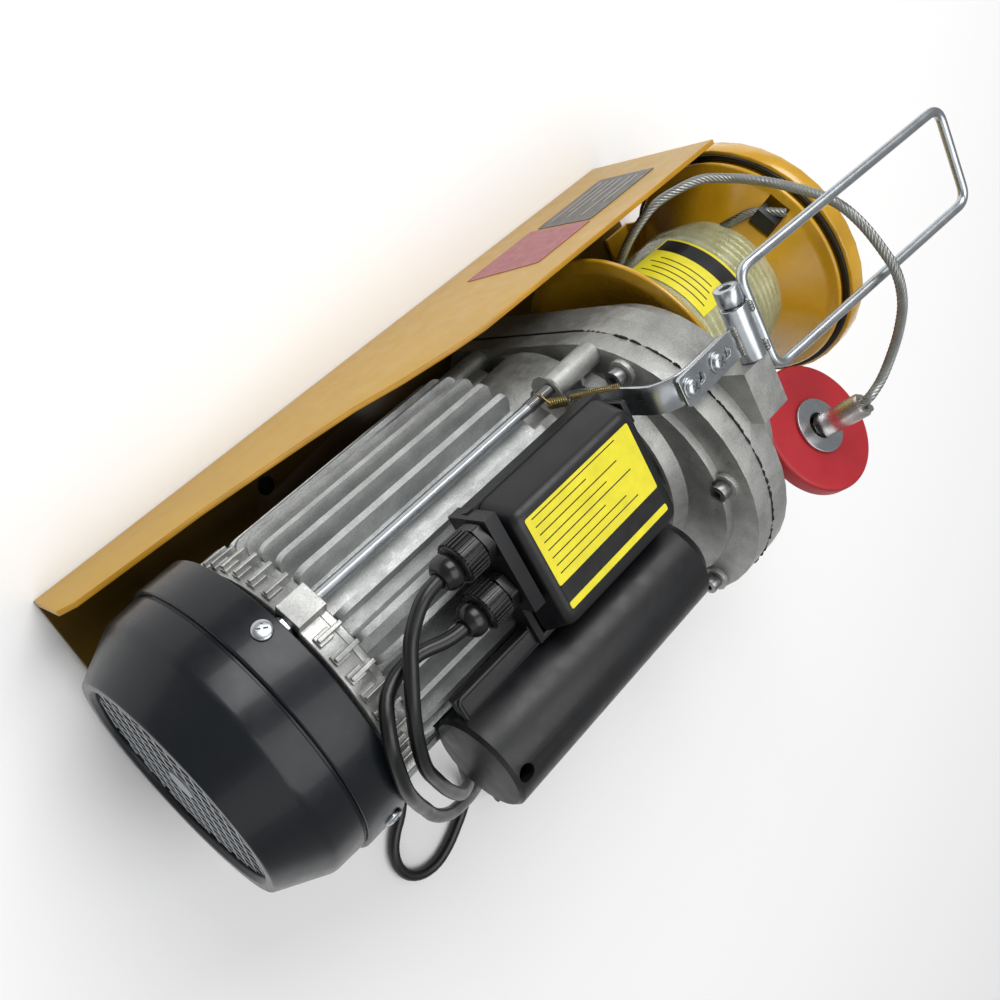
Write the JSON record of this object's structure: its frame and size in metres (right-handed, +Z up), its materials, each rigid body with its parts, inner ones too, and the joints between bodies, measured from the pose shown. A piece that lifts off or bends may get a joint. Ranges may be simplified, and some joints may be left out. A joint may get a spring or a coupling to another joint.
{
  "type": "electric wire rope hoist",
  "caption": "Small electric wire rope hoist on a folded yellow frame: finned motor with fan cover, gearbox, rope drum, limit lever with bail, red stopper disc, load hook, cables and hand control.",
  "frame": {"origin": "underside of the mounting plate, at the middle of the frame's length, straight under the motor and drum axis", "axes": "+X along the motor and drum axis towards the fan cover, +Y away from the tall side flange, +Z up from the mounting plate"},
  "size_m": [0.5047, 0.2939, 0.225],
  "materials": {
    "yellow_paint": "gloss",
    "cast_aluminium": "satin",
    "bright_zinc": "bright",
    "steel": "machined",
    "windings": "satin",
    "wire_rope": "greased",
    "cover_plastic": "gloss",
    "black_plastic": "satin",
    "red_plastic": "satin",
    "cable_rubber": "satin"
  },
  "bodies": {
    "frame": {"frame_plate": "yellow_paint", "end_plate": "yellow_paint", "gearbox_housing": "cast_aluminium", "gearbox_cover": "cast_aluminium", "motor_housing": "cast_aluminium", "end_shield": "cast_aluminium", "rope_ferrule": "cast_aluminium", "start_capacitor": "cast_aluminium", "tie_rod_1": "bright_zinc", "tie_rod_2": "bright_zinc", "tie_rod_3": "bright_zinc", "tie_rod_4": "bright_zinc", "cover_screw_1": "bright_zinc", "cover_screw_2": "bright_zinc", "cover_screw_3": "bright_zinc", "cover_screw_4": "bright_zinc", "pivot_bolt": "bright_zinc", "stopper_washer": "bright_zinc", "hook_eye": "bright_zinc", "end_bearing": "steel", "gearbox_screw_1": "steel", "gearbox_screw_2": "steel", "gearbox_screw_3": "steel", "gearbox_screw_4": "steel", "gearbox_screw_5": "steel", "lever_spring": "steel", "stator": "windings", "rope_tail": "wire_rope", "rope_eye": "wire_rope", "fan_cover": "cover_plastic", "control_box_base": "black_plastic", "control_box_lid": "black_plastic", "limit_switch": "black_plastic", "power_plug": "black_plastic", "pendant_body": "black_plastic", "stopper_disc": "red_plastic", "power_gland": "cable_rubber", "pendant_gland": "cable_rubber", "power_lead": "cable_rubber", "power_coil": "cable_rubber", "pendant_lead": "cable_rubber", "pendant_coil": "cable_rubber"},
    "drum": {"drum": "yellow_paint", "rope_winding": "wire_rope", "rope_wedge": "black_plastic", "drum_shaft": "steel", "output_gear": "steel"},
    "countershaft": {"countershaft_gear": "steel"},
    "rotor": {"motor_shaft": "steel", "rotor": "steel", "cooling_fan": "black_plastic"},
    "limit_lever": {"limit_bail": "bright_zinc", "limit_strip": "bright_zinc", "strip_screw_1": "bright_zinc", "strip_screw_2": "bright_zinc"},
    "hook": {"load_hook": "bright_zinc"},
    "latch": {"hook_latch": "bright_zinc"},
    "up_button": {"up_button": "black_plastic"},
    "down_button": {"down_button": "black_plastic"}
  },
  "joints": [
    {"name": "drum_spin", "type": "hinge", "parent": "frame", "child": "drum", "pos_m": [0, 0, 0.085], "axis": [1, 0, 0], "continuous": true},
    {"name": "countershaft_spin", "type": "hinge", "parent": "frame", "child": "countershaft", "pos_m": [0, 0.04796, 0.10635], "axis": [1, 0, 0], "continuous": true},
    {"name": "rotor_spin", "type": "hinge", "parent": "frame", "child": "rotor", "pos_m": [0, 0, 0.085], "axis": [1, 0, 0], "continuous": true},
    {"name": "limit_lever_turn", "type": "hinge", "parent": "frame", "child": "limit_lever", "pos_m": [-0.084, 0, 0.2], "axis": [0, 1, 0], "range_deg": [-7, 0], "stiffness_Nm_per_rad": 0.8, "springref_deg": 17.19},
    {"name": "hook_swivel", "type": "hinge", "parent": "frame", "child": "hook", "pos_m": [-0.14974, 0.09984, 0.10345], "axis": [-0.101, -0.4041, 0.9091], "continuous": true},
    {"name": "latch_turn", "type": "hinge", "parent": "hook", "child": "latch", "pos_m": [-0.14523, 0.10909, 0.08276], "axis": [0.0214, -0.9145, -0.4041], "range_deg": [0, 30], "stiffness_Nm_per_rad": 0.02, "springref_deg": -17.19},
    {"name": "up_press", "type": "slide", "parent": "frame", "child": "up_button", "axis": [0, 0, -1], "range_m": [0, 0.004], "stiffness_N_per_m": 400, "springref_m": -0.002},
    {"name": "down_press", "type": "slide", "parent": "frame", "child": "down_button", "axis": [0, 0, -1], "range_m": [0, 0.004], "stiffness_N_per_m": 400, "springref_m": -0.002}
  ],
  "couplings": [
    {"joint": "countershaft_spin", "follows": "drum_spin", "ratio": -3.2},
    {"joint": "rotor_spin", "follows": "drum_spin", "ratio": 13.6}
  ]
}
